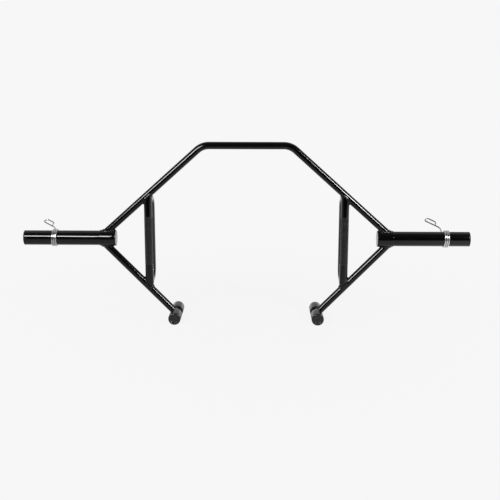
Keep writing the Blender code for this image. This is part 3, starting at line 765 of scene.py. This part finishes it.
# %% Weld beads
RIPPLE, RIPPLE_STEPS = 0.0036, 8
BEAD_WIDTH = 0.0042                     # from the root to each toe
CROWN, RIPPLE_HEIGHT, COIN_LEAN = 0.0010, 0.00050, 0.4
TOE_DEPTH, BACK_DEPTH = 0.0001, 0.001   # how far toes and the unseen back lie under the surfaces
ROOT_RADIUS = 0.985                     # of the tube's radius, so that the root is inside the tube


def onto(points, seat):
    """Points moved straight out from, or in to, a bar's axis until they are just under its surface."""
    off = off_axis(points, seat)
    return points - off + unit(off) * (seat[2] - TOE_DEPTH)


def weld(name, place, way, seats, size=TUBE):
    """A fillet weld where a tube, from place along way, meets one or two bars: a band round the tube's end.

    Across the band, t goes from the tube's toe to the bar's. Its skin is the straight line between the toes,
    plus crown x sin(pi t), plus ripple x sin(pi t) x |sin(pi (n - lean x sin(pi t)))|, n counted in ripples.
    """
    tube = (place, way, size)
    # Any direction that isn't the tube's own will do to count the turn from.
    first = unit(np.cross(way, [0.3, 0.9, 0.2]))
    second = np.cross(way, first)

    def root(turn):
        spokes = np.cos(turn)[:, None] * first + np.sin(turn)[:, None] * second
        ring = place + ROOT_RADIUS * size * spokes
        return slide_onto(ring, way, seats), spokes, on_second(ring, way, seats)[:, None]

    # The root is measured on a fine walk first, and then walked again in even steps.
    turn = np.linspace(0, 2 * np.pi, 8 * 360 + 1)
    run = np.concatenate([[0], np.cumsum(np.linalg.norm(np.diff(root(turn)[0], axis=0), axis=1))])
    steps = np.arange(RIPPLE_STEPS * round(run[-1] / RIPPLE))
    points, spokes, second_seat = root(np.interp(steps / len(steps) * run[-1], run, turn))
    out_of_seat = unit(np.where(second_seat, off_axis(points, seats[-1]), off_axis(points, seats[0])))
    along = unit(np.roll(points, -3, axis=0) - np.roll(points, 3, axis=0))
    up_tube, off_tube = np.cross(along, spokes), np.cross(along, out_of_seat)
    up_tube = up_tube * -np.sign(np.sum(up_tube @ way))
    off_tube = off_tube * np.sign(np.sum(off_tube * spokes))
    # Two slow waves, so that the bead is as uneven as a hand lays it.
    uneven = 1 + 0.07 * np.sin(steps * 0.11) + 0.05 * np.sin(steps * 0.29 + 1)
    wide = (BEAD_WIDTH * uneven)[:, None]
    tube_toe, seat_toe = onto(points + up_tube * wide, tube), points + off_tube * wide
    seat_toe = np.where(second_seat, onto(seat_toe, seats[-1]), onto(seat_toe, seats[0]))
    outward = unit(spokes + out_of_seat)
    t = np.linspace(0, 1, 9)[:, None]
    swell = np.sin(np.pi * t)
    coins = np.abs(np.sin(np.pi * (steps[:, None, None] / RIPPLE_STEPS - COIN_LEAN * swell)))
    band = tube_toe[:, None] * (1 - t) + seat_toe[:, None] * t
    band = band + outward[:, None] * swell * (CROWN + RIPPLE_HEIGHT * coins)
    unseen_back = (points - outward * BACK_DEPTH)[:, None]
    bead = skin(name, np.concatenate([band, unseen_back], axis=1), [WELD_PAINT], ring=True, sharp=60.0)
    done(bead, "bar_frame", "gloss_black_paint")


for s, side in SIDES:
    hub, bow_bar, arm_bar, foot, grip_bar = bars(s, sunk=0).values()
    weld(side + "_bow_to_hub_weld", BOW_CORNER[s], bow_bar[1], [hub])
    weld(side + "_arm_to_hub_weld", FOOT[s], -arm_bar[1], [hub])
    weld(side + "_arm_to_foot_weld", ARM_ON_HUB[s], arm_bar[1], [foot])
    weld(side + "_grip_to_bow_weld", HANDLE_FOOT[s], -grip_bar[1], [bow_bar], GRIP)
    weld(side + "_grip_to_arm_weld", HANDLE_TOP[s], grip_bar[1], [arm_bar], GRIP)
    weld(side + "_upper_leg_weld", LEG_TOP[s] + BACK, -ACROSS, [grip_bar, bow_bar])
    weld(side + "_lower_leg_weld", LEG_FOOT[s] + BACK, -ACROSS, [grip_bar, arm_bar])
print("pieces so far", len(pieces))

# %% [markdown]
# ## Spring collars
# A collar is one length of 5 mm chromed spring wire. It is wound a little over three times round the
# sleeve, and both ends run out as levers, each bent back to a hairpin that fingers can squeeze. The coil
# is a helix: its angle is counted from straight back, upwards, and it moves one pitch along the sleeve with
# each turn. The levers begin where the coil ends, so their places follow from its numbers.

# %% Wire sizes
WIRE = 0.0025                           # the wire's radius
COIL = SLEEVE + GAP + WIRE              # from the sleeve's axis to the wire's middle
COIL_PITCH = 0.00605
FIXED_ANGLE, SQUEEZE_ANGLE = -12.0, 28.0
SWEEP = 3 * 360 + SQUEEZE_ANGLE - FIXED_ANGLE
FIXED_X = COIL_PITCH * SWEEP / 720      # half the coil's length
ROOT_TURN = 20.0                        # the part of a turn, in degrees, that is already lever
WIRE_SIDES = 24

# A lever's knee is how far out it bends. Its tip leans sideways and reaches out, its grip is a hairpin.
LEAN, REACH, KNEE, GRIP_WIDTH, GRIP_LENGTH, TAIL = 0.0497, 0.06765, 0.02935, 0.0173, 0.0334, 0.013
TAIL_LEAN = math.radians(32)
LEVER_BENDS = [0.007, 0.027, 0.0055, 0.0055, 0.0055]
COLLARS = {"left": (-0.6566, -3.0), "right": (0.6815, 3.0)}     # place in X, and turn in degrees


def around(x, radius, angle):
    """Points round the sleeve's axis, at angles in degrees, as x, backwards and upwards."""
    angle = np.radians(angle)
    x, radius, angle = np.broadcast_arrays(x, radius, angle)
    return np.stack([x, radius * np.cos(angle), radius * np.sin(angle)], axis=-1)


def helix(start, end, step=4.0):
    """The coil's wire between two angles: x falls by one pitch with each turn, the radius stays."""
    angle = np.linspace(start, end, max(2, int(round(abs(end - start) / step))) + 1)
    return around(FIXED_X - COIL_PITCH * (angle - FIXED_ANGLE) / 360, COIL, angle)


def lever(root_x, angle, joint_angle):
    """The wire of a lever: along the coil, outwards, sideways, and back in a hairpin with a short tail."""
    tip = np.array([-FIXED_X - LEAN, COIL + REACH])
    knee = np.array([root_x, COIL + KNEE])
    along = unit(tip - knee)
    aside = np.array([along[1], -along[0]])
    turn_back = tip + aside * GRIP_WIDTH
    heel = turn_back - along * GRIP_LENGTH
    tail = heel - TAIL * (math.sin(TAIL_LEAN) * along + math.cos(TAIL_LEAN) * aside)
    corner = np.array([root_x, COIL / math.cos(math.radians(angle - joint_angle))])
    flat = np.array([corner, knee, tip, turn_back, heel, tail])
    start = helix(joint_angle, joint_angle)[:1]
    corners = np.concatenate([start, around(flat[:, 0], flat[:, 1], angle)])
    return rounded_path(corners, LEVER_BENDS, step=7.5)


print("coil radius", round(COIL, 4), "length", round(2 * FIXED_X, 4))

# %% [markdown]
# ## Winding the wire
# The wire is modelled in three pieces, because the levers belong to different moving bodies. Each lever's
# first millimetres sit inside the coil's end as a slightly thinner core, so that the joint is hidden. Its
# far end is rounded off as a low dome.

# %% Wind the wire
CORE_TURN, CORE_RADIUS = 6.0, 0.96 * WIRE       # a lever's core goes so many degrees back into the coil


def placed(points, side):
    """Points of a collar's own frame, turned on the sleeve and put in place along it."""
    x, turn = COLLARS[side][0], math.radians(COLLARS[side][1])
    y = points[..., 1] * math.cos(turn) - points[..., 2] * math.sin(turn)
    z = points[..., 1] * math.sin(turn) + points[..., 2] * math.cos(turn)
    return np.stack([points[..., 0] + x, y + PLANE, z + AXIS_Z], axis=-1)


def dome(path):
    """The path with a few steps more, and the radius all along it: r cos(a) at 0.5 r sin(a) past its end."""
    ahead = unit(path[-1] - path[-2])
    angle = np.radians([25, 45, 62, 76, 85])
    beyond = path[-1] + 0.5 * WIRE * np.sin(angle)[:, None] * ahead
    radius = np.concatenate([np.full(len(path), WIRE), WIRE * np.cos(angle)])
    return np.concatenate([path, beyond]), radius


for side, (x, _) in COLLARS.items():
    first, last = FIXED_ANGLE + ROOT_TURN, FIXED_ANGLE + SWEEP - ROOT_TURN
    path = helix(first, last)
    spokes = path * [0, 1, 1]
    coil = skin(side + "_coil_wire", placed(pipe(path, WIRE, spokes, sides=WIRE_SIDES), side), [CHROME])
    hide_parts(side + "_collar_coil")
    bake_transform(coil)
    pieces.append(coil.name)
    levers = (("fixed_lever", FIXED_X, FIXED_ANGLE, first, CORE_TURN, "_collar"),
              ("squeeze_lever", -FIXED_X, FIXED_ANGLE + SWEEP, last, -CORE_TURN, "_squeeze_lever"))
    for name, root_x, angle, joint, back, body in levers:
        # The core stops a tenth of a degree before the lever's first point.
        core = helix(joint + back, joint + back / 60, 2.0)
        path, radius = dome(lever(root_x, angle, joint))
        path = np.concatenate([core, path])
        radius = np.concatenate([np.full(len(core), CORE_RADIUS), radius])
        # The spoke leans out of the lever's plane, so that it is never along the wire.
        turn = math.radians(angle)
        spoke = np.array([0.6, -0.8 * math.sin(turn), 0.8 * math.cos(turn)])
        grid = placed(pipe(path, radius, spoke, sides=WIRE_SIDES), side)
        done(skin(side + "_" + name + "_wire", grid, [CHROME]), side + body, "chromed_spring_wire",
             side + "_collar_" + name)
print("pieces", len(pieces))

# %% [markdown]
# ## A flag for the left softbox
# The right collar's levers point so that they mirror the left softbox, and would glare. A photographer
# puts up a flag, a small black card that keeps one lamp off one part. Light linking is Blender's flag:
# the lamp lists who receives its light, and a member can be excluded.

# %% Keep the left softbox off the right collar's levers
shaded = bpy.data.collections.new("behind_the_flag")
for name in pieces:
    if name.startswith("right_") and name.endswith("_lever_wire"):
        shaded.objects.link(bpy.data.objects[name])
left_lamp.light_linking.receiver_collection = shaded
for member in shaded.collection_objects:
    member.light_linking.link_state = "EXCLUDE"

# %% [markdown]
# ## The end
# The CAD box and the box of what was made are compared, and their largest difference is printed.

# %% Sizes and finish
made_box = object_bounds()
differences = [abs(a - b) for p, q in zip(cad_box, made_box) for a, b in zip(p, q)]
print("largest difference in mm", round(1000 * max(differences), 3))
